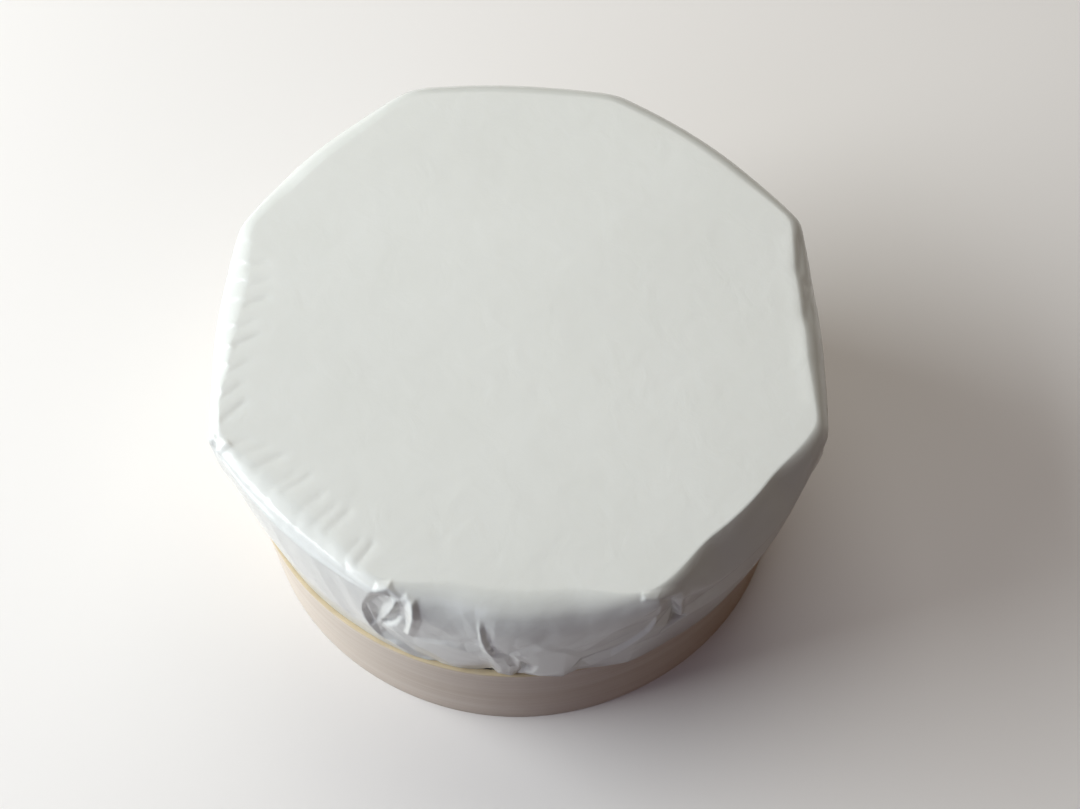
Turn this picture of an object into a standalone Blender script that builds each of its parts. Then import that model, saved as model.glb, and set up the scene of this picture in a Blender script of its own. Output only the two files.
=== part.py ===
"""A small wheel of soft cheese, wrapped in white film and pressed into the base of a round veneer box.

The band of the box is a thin ring of veneer with a lap joint, and its floor is a thin wooden disc.
The wrapped wheel is one closed body. Its film is folded to eight sides, so its outline is an
octagon with bowed sides, its shoulder is rounder on some sides than on others, and folds, creases
and pinched corners are pushed out of that form or into it.

Sizes are in millimetres and turn into metres where a mesh is made. +Z is up, and -Y is the front.
An azimuth is an angle in degrees from +X, turning towards +Y.
"""

import math

import bmesh
import bpy
import numpy as np
from mathutils import Matrix

MM = 0.001

# The box.
BOX_RADIUS = 57.5
VENEER = 1.3
BOX_HEIGHT = 26.7
FLOOR_THICK = 2.5
BOX_SEGMENTS = 96
EDGE_EASE = 0.25
LAP_START = 74.0
LAP_END = 98.0
LAP_STEP = 0.7
LAP_SLOPE = 0.15

# Room between pieces that touch.
GAP = 0.3

# The wrapped wheel.
TOP_HEIGHT = 64.0
WHEEL_FOOT = FLOOR_THICK + GAP
RIM_REST = BOX_HEIGHT + GAP
LIP_HEIGHT = RIM_REST + 0.7
TUCK_RADIUS = 55.7
WALL_RUN = 34.0
SHOULDER_RUN = 8.0
CORNER_ROUND = 0.8
WALL_CURVE = 1.7
LIP_THICK = 0.35
MERGE_WITHIN = 0.01
NORMAL_STEP = 0.4

# Each corner of the folded outline: azimuth, radius.
CORNERS = [
    (-155.0, 60.0),
    (-114.0, 59.5),
    (-67.0, 61.6),
    (-22.5, 61.4),
    (23.0, 60.7),
    (70.0, 60.0),
    (110.0, 62.0),
    (157.5, 59.0),
]

# The side after each corner: middle radius, shoulder width, shoulder drop, shoulder roundness.
# A roundness of 2 is a quarter of an ellipse, and towards 1 it becomes a straight chamfer.
SIDES = [
    (58.0, 3.2, 3.6, 1.7),
    (57.8, 6.4, 9.4, 2.0),
    (58.8, 4.0, 5.4, 2.0),
    (58.2, 5.0, 5.0, 2.0),
    (59.0, 6.0, 5.0, 2.0),
    (60.0, 6.0, 5.0, 2.0),
    (59.7, 5.5, 4.0, 1.35),
    (57.0, 4.8, 4.0, 1.5),
]
CORNER_SHOULDER = (2.6, 2.4, 1.8)
CORNER_REACH = 9.0

# Folds are a little wider in this mesh than in the real film, so that its facets can follow them.
FOLD_SPREAD = 1.2

# Where the wrapper's lower edge lies over the rim of the box: first azimuth, last azimuth, radius.
# Elsewhere it is tucked inside the rim.
LIP_TUCKED = 55.8
LIP_RAMP = 5.0
LIP_FLAPS = [
    (-163.0, -140.0, 57.7),
    (-98.0, -83.0, 57.1),
    (-88.0, -75.5, 58.0),
    (-80.0, -18.0, 58.5),
    (28.0, 62.0, 58.4),
    (116.0, 152.0, 58.3),
]

# Folds are laid out by azimuth and by run. The run is 0 where the shoulder meets the wall, grows
# to WALL_RUN at the lower edge, is -SHOULDER_RUN at the shoulder's inner edge and falls on from
# there across the top. One degree of azimuth is DEGREE_LONG on the wall.
DEGREE_LONG = 1.02
FOLD_SHARPNESS = 1.5

# Rows of like folds: how many, first azimuth, last azimuth, inner run, outer run, lean in degrees,
# height and width. A height below 0 is a groove.
FOLD_ROWS = [
    (7, 163.0, 200.0, -10.5, -5.5, 2.0, -0.75, 1.05),
    (9, -153.0, -117.0, -10.0, -7.0, -0.5, -0.35, 1.0),
    (8, -106.0, -70.5, -5.5, 2.0, -3.0, -0.6, 1.35),
    (4, -58.0, -31.0, -3.5, 8.0, 1.0, -0.4, 1.6),
    (4, -146.0, -121.0, 3.0, 22.0, 1.5, -0.4, 1.4),
    (3, -57.0, -38.0, 20.0, 31.0, -1.5, -0.5, 1.3),
]
ROW_UNEVEN = 0.8

# Single folds, each with its height, width and path of (azimuth, run).
LOWER_LEFT_CREASES = [
    (0.35, 0.9, [(-154.0, -3.0), (-145.0, -5.0), (-128.0, -6.0), (-115.5, -6.0)]),
    (-0.55, 1.0, [(-153.0, 0.5), (-144.0, -2.0), (-131.0, -2.0), (-117.5, 3.5)]),
    (0.45, 1.0, [(-152.0, 4.5), (-143.0, 2.0), (-131.0, 2.0), (-118.0, 7.0)]),
    (-0.45, 1.6, [(-151.0, 14.0), (-142.0, 12.0), (-122.0, 20.0)]),
    (0.40, 1.5, [(-152.0, 22.0), (-130.0, 27.5)]),
]
FRONT_CREASES = [
    (-1.25, 1.7, [(-106.0, 7.0), (-101.0, 5.0), (-97.0, 8.5), (-89.5, 8.0)]),
    (-1.25, 1.7, [(-89.5, 8.0), (-84.5, 9.5), (-79.5, 5.5), (-69.0, 8.0)]),
    (1.50, 1.1, [(-96.0, -2.0), (-96.0, 7.0), (-96.0, 16.0), (-93.5, 30.0)]),
    (1.00, 1.0, [(-89.5, 5.5), (-91.5, 12.0), (-94.0, 19.0)]),
    (-0.90, 1.1, [(-92.5, 4.0), (-94.0, 12.5)]),
    (0.90, 1.0, [(-89.5, 5.5), (-85.0, 14.0), (-78.0, 26.0), (-81.5, 32.5)]),
    (-0.80, 1.2, [(-88.5, 12.0), (-89.0, 31.0)]),
    (1.10, 1.9, [(-93.0, 25.0), (-91.0, 29.5)]),
    (-1.10, 1.4, [(-98.0, 21.0), (-97.0, 32.0)]),
    (0.80, 1.2, [(-101.0, 9.0), (-99.0, 16.5), (-101.5, 24.0)]),
    (-0.80, 1.5, [(-84.0, 20.5), (-75.0, 11.5)]),
    (0.70, 1.2, [(-82.5, 12.0), (-76.5, 7.5), (-70.0, 10.5)]),
]
LOWER_RIGHT_CREASES = [
    (-1.30, 1.7, [(-61.5, 10.5), (-51.0, 17.0), (-40.5, 21.0), (-29.5, 25.0)]),
    (0.70, 1.4, [(-61.0, 14.5), (-53.0, 19.5), (-30.0, 28.5)]),
]
RIGHT_CORNER_FOLDS = [
    (0.80, 1.2, [(-68.5, -5.5), (-66.5, -1.0)]),
    (-1.50, 1.2, [(-65.0, 2.0), (-63.5, 5.5)]),
    (0.85, 0.9, [(-61.0, -2.5), (-62.0, 8.0)]),
    (-0.60, 1.2, [(-59.5, 3.0), (-58.5, 9.0)]),
]
LEFT_CORNER_FOLDS = [
    (0.55, 0.9, [(-155.0, -4.5), (-155.5, 4.0)]),
    (-1.30, 0.9, [(-153.0, -3.5), (-153.5, 0.5)]),
    (0.70, 0.8, [(-152.0, -7.0), (-152.0, -2.5)]),
]

# The gathered knot of film at the near left corner: a hole with arms that wind out of it.
KNOT_AT = (-113.5, 9.0)
KNOT_HOLE = (-2.2, 1.5)
KNOT_ARMS = 7
KNOT_ARM = (1.5, 1.0)
KNOT_GROOVE = (-1.0, 0.9)
KNOT_INNER = 2.0
KNOT_OUTER = 7.0
KNOT_SPIRAL = 38.0

# Pleats that run down from the corners: path, which side lies on top (1 is the greater azimuth).
LEFT_PLEAT = [(-114.0, 16.0), (-111.0, 21.0), (-107.0, 29.0), (-103.5, 33.0)]
RIGHT_PLEAT = [(-66.5, 5.0), (-66.0, 13.0), (-69.0, 18.0), (-73.0, 24.0), (-76.0, 32.5)]
PLEAT_RIDGE = (1.2, 1.1)
PLEAT_GROOVE = (-0.9, 1.2)
PLEAT_LAYER = 0.8
PLEAT_FADE = 8.0

# The other corners, and which way the pleat below each one leans.
PLAIN_CORNERS = [(-22.5, 1), (23.0, -1), (70.0, 1), (110.0, -1), (157.5, 1), (-155.0, -1)]
PLAIN_SIDES = [(-22.5, 23.0), (23.0, 70.0), (70.0, 110.0), (110.0, 157.5), (157.5, 205.0)]

# How fine the wheel's mesh is. Columns after each corner are close together where folds are small.
SIDE_COLUMNS = [28, 50, 30, 14, 14, 13, 14, 23]
TOP_RINGS = [0.0, 0.3, 0.62, 0.84]
TOP_EDGE_RUNS = [-15.5, -12.5, -10.2]
SHOULDER_ROWS = 6
WALL_ROWS = 14
WALL_CROWDING = 1.2
# The underside: how far each ring lies inside the tuck, and its height.
UNDERSIDE = [(0.0, RIM_REST), (0.3, 14.0), (1.2, 5.0), (4.4, WHEEL_FOOT), (TUCK_RADIUS, WHEEL_FOOT)]

# Each material: colour, roughness.
VENEER_WOOD = ((0.58, 0.46, 0.33, 1.0), 0.62)
WHITE_FILM = ((0.80, 0.81, 0.78, 1.0), 0.32)

corner_azimuths = np.array([corner[0] for corner in CORNERS])
corner_radii = np.array([corner[1] for corner in CORNERS])


def smooth(share):
    """A soft step from 0 to 1."""
    share = np.clip(share, 0.0, 1.0)
    return share * share * (3.0 - 2.0 * share)


def side_of(azimuth):
    """The side an azimuth falls on, where that side starts and ends, and the azimuth past the start."""
    first = corner_azimuths[0]
    azimuth = (azimuth - first) % 360.0 + first
    side = np.clip(np.searchsorted(corner_azimuths, azimuth, side="right") - 1, 0, 7)
    start = corner_azimuths[side]
    end = np.where(side == 7, first + 360.0, corner_azimuths[(side + 1) % 8])
    return side, start, end, azimuth


def bowed_outline(azimuth):
    """Radius of the octagon with bowed sides, before its corners are rounded."""
    side, start, end, azimuth = side_of(azimuth)
    near, far = corner_radii[side], corner_radii[(side + 1) % 8]
    start, end, at = np.radians(start), np.radians(end), np.radians(azimuth)

    def chord(angle):
        across = near * np.sin(angle - start) + far * np.sin(end - angle)
        return near * far * np.sin(end - start) / across

    middle = np.array([values[0] for values in SIDES])[side]
    bow = middle - chord((start + end) / 2.0)
    share = (at - start) / (end - start)
    return chord(at) + bow * (1.0 - (2.0 * share - 1.0) ** 2)


def outline(azimuth):
    """Radius of the wrapped outline, its corners rounded a little."""
    before = bowed_outline(azimuth - CORNER_ROUND)
    after = bowed_outline(azimuth + CORNER_ROUND)
    return (before + 2.0 * bowed_outline(azimuth) + after) / 4.0


def shoulder(azimuth, which):
    """Shoulder width, drop or roundness, easing to a tight pinch at each corner."""
    side, start, end, azimuth = side_of(azimuth)
    value = np.array([values[which + 1] for values in SIDES])[side]
    near = np.minimum(azimuth - start, end - azimuth)
    corner = CORNER_SHOULDER[which]
    return corner + (value - corner) * smooth(near / CORNER_REACH)


def lip_radius(azimuth):
    """Radius of the wrapper's lower edge."""
    azimuth = (azimuth + 180.0) % 360.0 - 180.0
    reach = np.zeros(np.shape(azimuth))
    for start, end, radius in LIP_FLAPS:
        ramp = min(LIP_RAMP, (end - start) / 2.0)
        share = smooth((azimuth - start) / ramp) * smooth((end - azimuth) / ramp)
        reach = np.maximum(reach, (radius - LIP_TUCKED) * share)
    return LIP_TUCKED + reach


def plain_form(azimuth, run):
    """Radius and height of the wrapped wheel with no folds."""
    radius = outline(azimuth)
    width = shoulder(azimuth, 0)
    drop = shoulder(azimuth, 1)
    power = 2.0 / shoulder(azimuth, 2)
    turn = np.clip((run + SHOULDER_RUN) / SHOULDER_RUN, 0.0, 1.0) * math.pi / 2.0
    across = radius - width + width * np.sin(turn) ** power
    height = TOP_HEIGHT - drop + drop * np.abs(np.cos(turn)) ** power
    down = np.clip(run / WALL_RUN, 0.0, 1.0)
    wall = radius + (lip_radius(azimuth) - radius) * down**WALL_CURVE
    wall_top = TOP_HEIGHT - drop
    across = np.where(run > 0.0, wall, across)
    height = np.where(run > 0.0, wall_top + (LIP_HEIGHT - wall_top) * down, height)
    inward = radius - width - (-SHOULDER_RUN - run)
    across = np.where(run < -SHOULDER_RUN, inward, across)
    height = np.where(run < -SHOULDER_RUN, TOP_HEIGHT, height)
    return across, height


def outward(azimuth, run):
    """The way out of the plain form, as a part across and a part up."""
    step = NORMAL_STEP
    across_a, height_a = plain_form(azimuth, run - step)
    across_b, height_b = plain_form(azimuth, np.minimum(run + step, WALL_RUN))
    along, fall = across_b - across_a, height_b - height_a
    length = np.maximum(np.hypot(along, fall), 1e-9)
    return -fall / length, along / length


def sideways(azimuth, centre):
    """Distance round the wall from a centre azimuth."""
    return ((azimuth - centre + 180.0) % 360.0 - 180.0) * DEGREE_LONG


def fold(azimuth, run, height, width, path):
    """One fold: a ridge or groove of that height along a path."""
    centre = path[0][0]
    u = sideways(azimuth, centre)
    nearest = np.full(np.shape(u), 1e9)
    for (at_a, run_a), (at_b, run_b) in zip(path, path[1:]):
        u_a = (at_a - centre) * DEGREE_LONG
        du, dr = (at_b - at_a) * DEGREE_LONG, run_b - run_a
        share = np.clip(((u - u_a) * du + (run - run_a) * dr) / (du * du + dr * dr), 0.0, 1.0)
        nearest = np.minimum(nearest, np.hypot(u - u_a - share * du, run - run_a - share * dr))
    return height * np.exp(-((nearest / (width * FOLD_SPREAD)) ** FOLD_SHARPNESS))


def layer(azimuth, run, path, side):
    """The layer of film on top at a pleat: it ends along the path and fades away from it."""
    top, bottom = path[0][1], path[-1][1]
    edge = np.interp(run, [point[1] for point in path], [point[0] for point in path])
    beside = sideways(azimuth, edge) * side
    rise = smooth(beside / 0.9) * (1.0 - smooth((beside - 1.0) / PLEAT_FADE))
    return PLEAT_LAYER * rise * smooth((run - top) / 3.0) * (run < bottom + 2.0)


def fold_row(count, first, last, inner, outer, lean, height, width):
    """A row of like folds across an edge, each a little off its even place."""
    folds = []
    for step in range(count):
        off = ROW_UNEVEN * math.sin(2.4 * step + 1.0)
        at = first + (last - first) * step / (count - 1) + off
        deep = height * (1.0 + 0.3 * math.sin(3.7 * step))
        folds.append((deep, width, [(at, inner + off), (at + lean, outer + off)]))
    return folds


def pleat(path, side):
    """The ridge along a pleat and the groove beside it, on the side that lies underneath."""
    beside = [(at - 2.4 * side, run + 1.0) for at, run in path]
    return [(*PLEAT_RIDGE, path), (*PLEAT_GROOVE, beside)]


def knot():
    """The gathered knot: its hole, and ridges and grooves that wind out of it by turns."""
    at, run = KNOT_AT
    folds = [(*KNOT_HOLE, [(at - 0.3, run - 1.2), (at + 0.3, run + 1.2)])]
    for half_arm in range(2 * KNOT_ARMS):
        start = math.pi * half_arm / KNOT_ARMS
        path = []
        for share in (0.0, 0.5, 1.0):
            far = KNOT_INNER + (KNOT_OUTER - KNOT_INNER) * share
            turn = start + math.radians(KNOT_SPIRAL) * share
            path.append((at + far * math.cos(turn) / DEGREE_LONG, run + far * math.sin(turn)))
        folds.append((*(KNOT_GROOVE if half_arm % 2 else KNOT_ARM), path))
    return folds


def plain_corner(corner, lean):
    """A pinched corner with a pleat below it."""
    path = [(corner, 5.0), (corner + 4.0 * lean, 16.0), (corner + 9.0 * lean, 31.0)]
    return [(0.4, 1.1, [(corner, -3.0), (corner, 5.0)])] + pleat(path, -lean)


def plain_side(start, end):
    """A slack crease that falls across the wall between two corners, with soft folds above and below."""
    span = end - start
    folds = [(-0.7, 1.8, [(start + share * span, 8.0 + 9.0 * share) for share in (0.12, 0.4, 0.7, 0.9)])]
    for share, low in ((0.22, 9.0), (0.5, 13.0), (0.74, 17.0)):
        at = start + share * span
        folds.append((-0.5, 1.8, [(at, 1.5), (at + 1.5, low - 2.0)]))
        folds.append((0.5, 1.6, [(at + 3.0, low + 4.0), (at + 1.0, 30.0)]))
    return folds


def all_folds():
    """Every fold of the wrapper."""
    folds = LOWER_LEFT_CREASES + FRONT_CREASES + LOWER_RIGHT_CREASES
    folds = folds + RIGHT_CORNER_FOLDS + LEFT_CORNER_FOLDS + knot()
    folds = folds + pleat(LEFT_PLEAT, -1) + pleat(RIGHT_PLEAT, 1)
    for row in FOLD_ROWS:
        folds = folds + fold_row(*row)
    for corner, lean in PLAIN_CORNERS:
        folds = folds + plain_corner(corner, lean)
    for start, end in PLAIN_SIDES:
        folds = folds + plain_side(start, end)
    return folds


def push(azimuth, run):
    """How far the folds move the film out at each point. It fades to nothing at the lower edge."""
    total = layer(azimuth, run, LEFT_PLEAT, -1) + layer(azimuth, run, RIGHT_PLEAT, 1)
    for height, width, path in all_folds():
        total = total + fold(azimuth, run, height, width, path)
    return total * (1.0 - smooth((run - WALL_RUN + 4.0) / 3.5))


def sag(x, y):
    """The slight waves in the flat top."""
    waves = 0.10 * np.sin(x / 13.0 + 0.6) * np.cos(y / 17.0) + 0.07 * np.sin(y / 9.0 - x / 21.0)
    return waves - 0.35 * (np.hypot(x, y) / 58.0) ** 4


def film_point(azimuth, run):
    """Place of the film, in millimetres, at an azimuth and a run."""
    across, height = plain_form(azimuth, run)
    out, up = outward(azimuth, run)
    distance = push(azimuth, run)
    across = across + out * distance
    height = height + up * distance
    x = across * np.cos(np.radians(azimuth))
    y = across * np.sin(np.radians(azimuth))
    top_share = smooth((TOP_HEIGHT + 1.0 - height) / 4.0)
    return x, y, height + sag(x, y) * (1.0 - top_share)


def wheel_columns():
    """Azimuths of the wheel's mesh columns, once round and back to the first."""
    found = []
    ends = [corner[0] for corner in CORNERS] + [CORNERS[0][0] + 360.0]
    for start, end, count in zip(ends, ends[1:], SIDE_COLUMNS):
        found.extend(start + (end - start) * step / count for step in range(count))
    return np.array(found + [ends[-1]])


def wheel_rows(azimuths):
    """The wheel's rings of points, from the middle of the top to the middle of the underside."""
    turns = np.radians(azimuths)
    rows = []
    for share in TOP_RINGS:
        across = share * (outline(azimuths) - shoulder(azimuths, 0) + SHOULDER_RUN + TOP_EDGE_RUNS[0])
        x, y = across * np.cos(turns), across * np.sin(turns)
        rows.append((x, y, TOP_HEIGHT + sag(x, y)))
    shoulder_runs = np.linspace(-SHOULDER_RUN, 0.0, SHOULDER_ROWS)
    wall_runs = WALL_RUN * np.linspace(0.0, 1.0, WALL_ROWS)[1:] ** WALL_CROWDING
    for run in [*TOP_EDGE_RUNS, *shoulder_runs, *wall_runs]:
        rows.append(film_point(azimuths, np.full(len(azimuths), run)))
    lip_under = np.maximum(lip_radius(azimuths) - LIP_THICK, TUCK_RADIUS + 0.05)
    under = [(lip_under, RIM_REST + 0.25)]
    under += [(np.full(len(azimuths), TUCK_RADIUS - inside), height) for inside, height in UNDERSIDE]
    for across, height in under:
        rows.append((across * np.cos(turns), across * np.sin(turns), np.full(len(azimuths), height)))
    return rows


def add_object(name, bm, finish):
    """An object from a bmesh, turned from millimetres to metres, with its own plain material."""
    bmesh.ops.scale(bm, vec=(MM, MM, MM), verts=bm.verts)
    bmesh.ops.remove_doubles(bm, verts=bm.verts, dist=MERGE_WITHIN * MM)
    bmesh.ops.dissolve_degenerate(bm, edges=bm.edges, dist=MERGE_WITHIN * MM)
    bmesh.ops.recalc_face_normals(bm, faces=bm.faces)
    mesh = bpy.data.meshes.new(name)
    bm.to_mesh(mesh)
    bm.free()
    mesh.shade_smooth()
    mesh.set_sharp_from_angle(angle=math.radians(40.0))
    colour, roughness = finish
    material = bpy.data.materials.new(name)
    material.use_nodes = True
    shader = material.node_tree.nodes["Principled BSDF"]
    shader.inputs["Base Color"].default_value = colour
    shader.inputs["Roughness"].default_value = roughness
    mesh.materials.append(material)
    made = bpy.data.objects.new(name, mesh)
    bpy.context.scene.collection.objects.link(made)
    return made


def spun(profile):
    """A bmesh of a closed (radius, height) profile spun once round the Z axis."""
    bm = bmesh.new()
    points = [bm.verts.new((radius, 0.0, height)) for radius, height in profile]
    edges = [bm.edges.new(pair) for pair in zip(points, points[1:] + points[:1])]
    bmesh.ops.spin(
        bm,
        geom=points + edges,
        axis=(0.0, 0.0, 1.0),
        angle=2.0 * math.pi,
        steps=BOX_SEGMENTS,
        use_merge=True,
    )
    return bm


def make_band():
    """The veneer ring. Its end laps over its start, which makes the ring thicker there by a step."""
    inner = BOX_RADIUS - VENEER
    bm = spun(
        [
            (BOX_RADIUS, EDGE_EASE),
            (BOX_RADIUS, BOX_HEIGHT - EDGE_EASE),
            (BOX_RADIUS - EDGE_EASE, BOX_HEIGHT),
            (inner + EDGE_EASE, BOX_HEIGHT),
            (inner, BOX_HEIGHT - EDGE_EASE),
            (inner, EDGE_EASE),
            (inner + EDGE_EASE, 0.0),
            (BOX_RADIUS - EDGE_EASE, 0.0),
        ]
    )
    for end in (LAP_START, LAP_END):
        for turn in (math.radians(end - LAP_SLOPE), math.radians(end + LAP_SLOPE)):
            across = (-math.sin(turn), math.cos(turn), 0.0)
            geometry = bm.verts[:] + bm.edges[:] + bm.faces[:]
            bmesh.ops.bisect_plane(bm, geom=geometry, plane_co=(0.0, 0.0, 0.0), plane_no=across)
    for vert in bm.verts:
        at = math.degrees(math.atan2(vert.co.y, vert.co.x))
        radius = math.hypot(vert.co.x, vert.co.y)
        if LAP_START < at < LAP_END and radius > BOX_RADIUS - VENEER / 2.0:
            vert.co.x *= 1.0 + LAP_STEP / radius
            vert.co.y *= 1.0 + LAP_STEP / radius
    add_object("box_band", bm, VENEER_WOOD)


def make_floor():
    """The wooden disc inside the foot of the band."""
    bm = bmesh.new()
    radius = BOX_RADIUS - VENEER - GAP
    move = Matrix.Translation((0.0, 0.0, FLOOR_THICK / 2.0))
    bmesh.ops.create_cone(
        bm,
        cap_ends=True,
        segments=BOX_SEGMENTS,
        radius1=radius,
        radius2=radius,
        depth=FLOOR_THICK,
        matrix=move,
    )
    rims = [edge for edge in bm.edges if abs(edge.verts[0].co.z - edge.verts[1].co.z) < EDGE_EASE]
    bmesh.ops.bevel(bm, geom=rims, offset=EDGE_EASE, segments=1, affect="EDGES")
    add_object("box_floor", bm, VENEER_WOOD)


def make_wheel():
    """The wrapped wheel: a grid whose rows are laid round as rings, closed at the seam and ends."""
    azimuths = wheel_columns()
    rows = wheel_rows(azimuths)
    last_column, last_row = len(azimuths) - 1, len(rows) - 1
    bm = bmesh.new()
    bmesh.ops.create_grid(bm, x_segments=last_column, y_segments=last_row, size=1.0)
    for vert in bm.verts:
        column = round((vert.co.x + 1.0) / 2.0 * last_column)
        x, y, z = rows[round((vert.co.y + 1.0) / 2.0 * last_row)]
        vert.co = (x[column], y[column], z[column])
    add_object("wrapped_wheel", bm, WHITE_FILM)


for existing in list(bpy.data.objects):
    bpy.data.objects.remove(existing, do_unlink=True)

make_band()
make_floor()
make_wheel()
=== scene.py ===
# %% [markdown]
# # A wrapped wheel of soft cheese in its veneer box
#
# A soft cheese is sold as a flat wheel, folded into thin white film and pressed into a round box of
# wood veneer. Three things are modelled here: the film over the wheel, the band of the box and its
# floor. Blender works in metres, and this object is small, so its sizes are written in millimetres
# and turned to metres where a mesh is made. +Z is up and -Y is the front.

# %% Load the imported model
import math

import bpy
import numpy as np
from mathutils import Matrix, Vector
from mathutils.geometry import delaunay_2d_cdt


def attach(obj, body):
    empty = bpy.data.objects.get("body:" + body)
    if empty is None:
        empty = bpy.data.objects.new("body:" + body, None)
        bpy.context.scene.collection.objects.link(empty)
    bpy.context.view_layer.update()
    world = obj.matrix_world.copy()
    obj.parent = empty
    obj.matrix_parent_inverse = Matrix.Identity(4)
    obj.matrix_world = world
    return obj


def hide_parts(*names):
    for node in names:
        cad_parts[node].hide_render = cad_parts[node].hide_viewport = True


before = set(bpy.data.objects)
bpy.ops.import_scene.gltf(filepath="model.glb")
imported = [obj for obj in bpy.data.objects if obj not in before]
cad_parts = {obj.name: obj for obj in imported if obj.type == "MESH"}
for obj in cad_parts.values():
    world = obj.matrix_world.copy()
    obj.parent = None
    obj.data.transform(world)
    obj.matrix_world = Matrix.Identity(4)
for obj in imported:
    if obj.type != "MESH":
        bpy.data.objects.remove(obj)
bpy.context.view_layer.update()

MM = 0.001


def node_box(name):
    """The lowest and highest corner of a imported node, in millimetres."""
    places = np.array([vert.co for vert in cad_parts[name].data.vertices]) / MM
    return [np.round(corner, 2).tolist() for corner in (places.min(axis=0), places.max(axis=0))]


print("nodes:", {name: node_box(name) for name in sorted(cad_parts)})

# %% [markdown]
# ## Camera
#
# The picture looks down on the wheel from the front, 60.6 degrees above the horizon. A lens of 45 mm
# from about 31 cm away gives the top its slight perspective: the near edge is a little larger than
# the far one. A camera points down its own -Z, so it is turned up by 90 degrees less the elevation.

# %% Camera
CAMERA_PLACE = (4.49, -138.8, 276.6)
CAMERA_ELEVATION = 60.6
LENS = 45.0
SENSOR_WIDTH = 36.0

camera_data = bpy.data.cameras.new("camera")
camera_data.sensor_fit = "HORIZONTAL"
camera_data.sensor_width = SENSOR_WIDTH
camera_data.lens = LENS
camera_data.clip_start = 0.01
camera = bpy.data.objects.new("camera", camera_data)
camera.location = [value * MM for value in CAMERA_PLACE]
camera.rotation_euler = (math.radians(90.0 - CAMERA_ELEVATION), 0.0, 0.0)
bpy.context.scene.collection.objects.link(camera)
bpy.context.scene.camera = camera
print("camera", round(camera.location.length / MM), "mm from the origin")

# %% [markdown]
# ## Helpers for materials
#
# Colours are easiest to choose as sRGB hex values, but Blender's shaders count in linear light, so
# one function turns the first into the second. Another adds a node, sets its values and links its
# inputs in one go, which keeps each material short enough to read.

# %% Helpers for materials
def linear(hex_code):
    """A hex colour as linear red, green, blue and alpha."""
    values = [int(hex_code[at : at + 2], 16) / 255.0 for at in (1, 3, 5)]
    turned = [v / 12.92 if v <= 0.04045 else ((v + 0.055) / 1.055) ** 2.4 for v in values]
    return (*turned, 1.0)


def add_node(tree, kind, inputs=None, **settings):
    """Adds a node. An input is linked if it is given a socket and set if it is given a value."""
    node = tree.nodes.new(kind)
    for name, value in settings.items():
        setattr(node, name, value)
    for name, value in (inputs or {}).items():
        if isinstance(value, bpy.types.NodeSocket):
            tree.links.new(value, node.inputs[name])
        else:
            node.inputs[name].default_value = value
    return node


def new_material(name, **constants):
    """A new material with its node tree and main shader, whose constant values are set here."""
    material = bpy.data.materials.new(name)
    material.use_nodes = True
    tree = material.node_tree
    shader = tree.nodes["Principled BSDF"]
    for socket, value in constants.items():
        shader.inputs[socket.replace("_", " ")].default_value = value
    return material, tree, shader


print("white in linear light:", [round(v, 3) for v in linear("#E6E7E2")])

# %% [markdown]
# ## Studio
#
# The wheel is lit as by a window on its left. A large soft light stands there and stays low, so it
# grazes the top and falls full on the left wall. A weaker one hangs high behind, and a faint bluish
# one in front lifts the folds out of the dark. The far side gets only a dim warm surround. The pale
# floor shows in the film's sheen but throws no light on it, as if it lay far below, so the right wall
# stays dark.

# %% The lights
# Each light is an azimuth and elevation in degrees, a distance and size in mm, watts, and a colour.
LIGHTS = {
    "window": (178.0, 23.5, 900.0, 750.0, 12.8, "#F6FBFF"),
    "behind": (85.0, 58.0, 700.0, 600.0, 1.85, "#FFFDF8"),
    "front": (-130.0, 20.0, 700.0, 600.0, 0.95, "#D6DCFF"),
}
LIGHT_AIM = Vector((0.0, 0.0, 50.0)) * MM

for name, (azimuth, elevation, distance, size, watts, colour) in LIGHTS.items():
    light = bpy.data.lights.new(name, "AREA")
    light.shape = "SQUARE"
    light.size = size * MM
    light.energy = watts
    light.color = linear(colour)[:3]
    made = bpy.data.objects.new(name, light)
    turn, rise = math.radians(azimuth), math.radians(elevation)
    away = Vector((math.cos(rise) * math.cos(turn), math.cos(rise) * math.sin(turn), math.sin(rise)))
    made.location = LIGHT_AIM + away * distance * MM
    made.rotation_euler = away.to_track_quat("Z", "Y").to_euler()
    bpy.context.scene.collection.objects.link(made)

# %% [markdown]
# The surround is a plain world colour. Blender's Standard view shows colours as they are, where the
# default one would grey the whites. The floor is a plane 6 metres wide, so no edge of it comes near.

# %% The surround and the floor
SURROUND_STRENGTH = 0.055
FLOOR_WIDTH = 6.0

world = bpy.data.worlds.new("surround")
bpy.context.scene.world = world
world.use_nodes = True
world.node_tree.nodes["Background"].inputs["Color"].default_value = linear("#FFC8A4")
world.node_tree.nodes["Background"].inputs["Strength"].default_value = SURROUND_STRENGTH
bpy.context.scene.view_settings.view_transform = "Standard"

bpy.ops.object.select_all(action="DESELECT")
bpy.ops.mesh.primitive_plane_add(size=FLOOR_WIDTH, location=(0.0, 0.0, 0.0))
floor = bpy.context.active_object
floor.name = "pale_floor"
floor.visible_diffuse = False
material, tree, shader = new_material("pale_paper_floor", Base_Color=linear("#F3F1EC"), Roughness=0.9)
floor.data.materials.append(material)
print("floor:", floor.name, "surround:", world.name)

# %% [markdown]
# ## Sizes
#
# The box is a band of veneer round a wooden disc. The wheel fills it and stands well above its rim. The
# box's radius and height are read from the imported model, so the finished pieces stay on it. The run
# says how far down the film a place lies, in steps of about a millimetre. It is 0 where the shoulder
# meets the wall, 34 at the film's lower edge, and below 0 over the shoulder and the top.

# %% Sizes
BOX_RADIUS = -node_box("box_band")[0][0]
BOX_HEIGHT = node_box("box_band")[1][2]
VENEER = 1.3
WHEEL_FOOT = node_box("wrapped_wheel")[0][2]

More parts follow.
